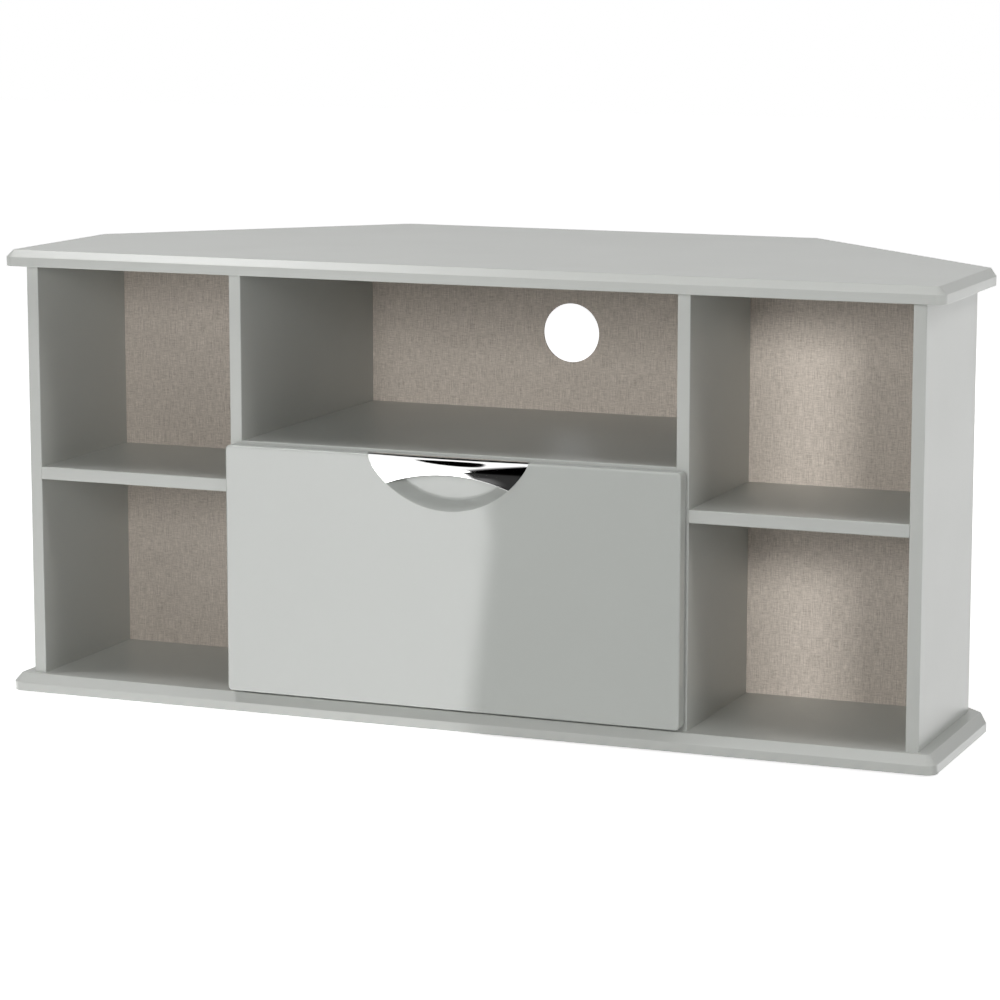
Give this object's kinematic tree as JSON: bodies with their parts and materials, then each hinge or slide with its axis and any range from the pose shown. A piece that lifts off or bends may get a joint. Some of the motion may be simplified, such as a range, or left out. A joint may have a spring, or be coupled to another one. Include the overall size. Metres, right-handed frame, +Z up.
{
  "type": "corner tv cabinet",
  "caption": "Low corner cabinet for a television: bevelled boards cut back at the rear corners, open shelf bays, a cable hole, and a drawer on roller runners with a half-moon grip.",
  "frame": {"origin": "on the floor, in the middle of the bounding box's width and depth", "axes": "+Z up, the drawer opens towards -Y, +X to the right of someone who faces the drawer"},
  "size_m": [1.1044, 0.5078, 0.5163],
  "materials": {
    "lacquer": "light warm grey satin lacquer on board",
    "gloss": "light grey high gloss lacquer on board",
    "linen": "hardboard with a woven beige-grey face",
    "box_wrap": "pale wrapped board",
    "chrome": "polished chrome plate",
    "enamel": "cream stove enamel on folded steel",
    "nylon": "white nylon",
    "zinc": "zinc-plated steel",
    "rubber": "soft translucent pad",
    "glide": "dark nail-on glide"
  },
  "bodies": {
    "carcass": {"top_board": "lacquer", "base_board": "lacquer", "left_end_panel": "lacquer", "right_end_panel": "lacquer", "left_divider": "lacquer", "right_divider": "lacquer", "left_shelf": "lacquer", "right_shelf": "lacquer", "centre_shelf": "lacquer", "left_back_panel": "linen", "right_back_panel": "linen", "centre_back_panel": "linen", "left_channel": "enamel", "right_channel": "enamel", "left_channel_rivet": "zinc", "right_channel_rivet": "zinc", "left_channel_screw_front": "zinc", "left_channel_screw_middle": "zinc", "left_channel_screw_rear": "zinc", "right_channel_screw_front": "zinc", "right_channel_screw_middle": "zinc", "right_channel_screw_rear": "zinc", "floor_glide_left_front": "glide", "floor_glide_left_middle": "glide", "floor_glide_left_rear": "glide", "floor_glide_right_front": "glide", "floor_glide_right_middle": "glide", "floor_glide_right_rear": "glide"},
    "drawer": {"drawer_front": "gloss", "drawer_handle": "chrome", "drawer_box_front": "box_wrap", "drawer_box_back": "box_wrap", "drawer_left_side": "box_wrap", "drawer_right_side": "box_wrap", "drawer_bottom": "box_wrap", "left_rail": "enamel", "right_rail": "enamel", "left_rail_rivet": "zinc", "right_rail_rivet": "zinc", "left_rail_screw_front": "zinc", "left_rail_screw_middle": "zinc", "left_rail_screw_rear": "zinc", "right_rail_screw_front": "zinc", "right_rail_screw_middle": "zinc", "right_rail_screw_rear": "zinc", "front_screw_left_low": "zinc", "front_screw_left_high": "zinc", "front_screw_right_low": "zinc", "front_screw_right_high": "zinc", "handle_screw_left": "zinc", "handle_screw_middle": "zinc", "handle_screw_right": "zinc", "bumper_left_low": "rubber", "bumper_left_high": "rubber", "bumper_right_low": "rubber", "bumper_right_high": "rubber"},
    "left_front_wheel": {"left_front_roller": "nylon"},
    "right_front_wheel": {"right_front_roller": "nylon"},
    "left_rear_wheel": {"left_rear_roller": "nylon"},
    "right_rear_wheel": {"right_rear_roller": "nylon"}
  },
  "joints": [
    {"name": "drawer_slide", "type": "slide", "parent": "carcass", "child": "drawer", "axis": [0, -1, 0], "range_m": [0, 0.25]},
    {"name": "left_front_roller_spin", "type": "hinge", "parent": "carcass", "child": "left_front_wheel", "pos_m": [-0.2524, -0.2135, 0.0548], "axis": [1, 0, 0], "range_deg": [-10, 1810]},
    {"name": "right_front_roller_spin", "type": "hinge", "parent": "carcass", "child": "right_front_wheel", "pos_m": [0.2524, -0.2135, 0.0548], "axis": [1, 0, 0], "range_deg": [-10, 1810]},
    {"name": "left_rear_roller_spin", "type": "hinge", "parent": "drawer", "child": "left_rear_wheel", "pos_m": [-0.2509, 0.0925, 0.0548], "axis": [1, 0, 0], "range_deg": [-10, 1810]},
    {"name": "right_rear_roller_spin", "type": "hinge", "parent": "drawer", "child": "right_rear_wheel", "pos_m": [0.2509, 0.0925, 0.0548], "axis": [1, 0, 0], "range_deg": [-10, 1810]}
  ],
  "couplings": [
    {"joint": "left_front_roller_spin", "follows": "drawer_slide", "rad_per_m": 125},
    {"joint": "right_front_roller_spin", "follows": "drawer_slide", "rad_per_m": 125},
    {"joint": "left_rear_roller_spin", "follows": "drawer_slide", "rad_per_m": 125},
    {"joint": "right_rear_roller_spin", "follows": "drawer_slide", "rad_per_m": 125}
  ]
}
